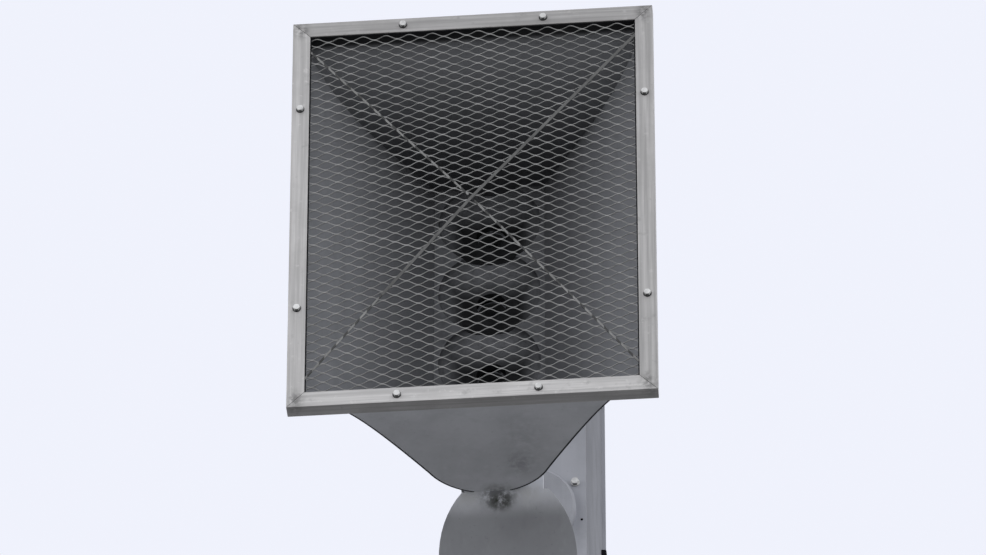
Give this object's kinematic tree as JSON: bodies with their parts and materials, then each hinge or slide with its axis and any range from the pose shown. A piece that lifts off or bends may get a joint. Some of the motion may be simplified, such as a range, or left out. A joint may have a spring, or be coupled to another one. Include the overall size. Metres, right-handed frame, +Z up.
{
  "type": "civil defense siren tower",
  "caption": "Box-section steel mast on a base plate, carrying a flared rectangular siren horn with a mesh guard and a column of drivers behind it.",
  "frame": {"origin": "centre of the base plate's underside, on the ground", "axes": "+Z up the mast, the horn faces -Y, +X to the right of someone facing the horn"},
  "size_m": [0.6, 1.4179, 10.726],
  "materials": {
    "galvanised_steel": "dull zinc coat, weathered",
    "mast_paint": "matt blue-grey paint, weathered",
    "horn_paint": "matt grey paint with grime",
    "frame_aluminium": "oxidised, streaked mill finish",
    "guard_mesh": "galvanised, dull",
    "driver_casting": "satin dark grey paint"
  },
  "bodies": {
    "root": {"base_plate": "galvanised_steel", "gusset_front": "galvanised_steel", "gusset_back": "galvanised_steel", "gusset_left": "galvanised_steel", "gusset_right": "galvanised_steel", "mast_tube": "mast_paint", "mast_cap": "mast_paint", "rear_cable_cover": "mast_paint", "junction_box": "mast_paint", "lower_arm": "mast_paint", "upper_arm": "mast_paint", "lower_arm_flange": "mast_paint", "upper_arm_flange": "mast_paint", "back_plate": "horn_paint", "lower_paddle": "horn_paint", "upper_paddle": "horn_paint", "throat_block": "horn_paint", "horn_top": "horn_paint", "horn_bottom": "horn_paint", "horn_left": "horn_paint", "horn_right": "horn_paint", "frame_top": "frame_aluminium", "frame_bottom": "frame_aluminium", "frame_left": "frame_aluminium", "frame_right": "frame_aluminium", "guard_top": "guard_mesh", "guard_bottom": "guard_mesh", "guard_left": "guard_mesh", "guard_right": "guard_mesh", "collar_1": "driver_casting", "collar_2": "driver_casting", "collar_3": "driver_casting", "collar_4": "driver_casting", "driver_1": "driver_casting", "driver_2": "driver_casting", "driver_3": "driver_casting", "driver_4": "driver_casting"}
  },
  "joints": []
}
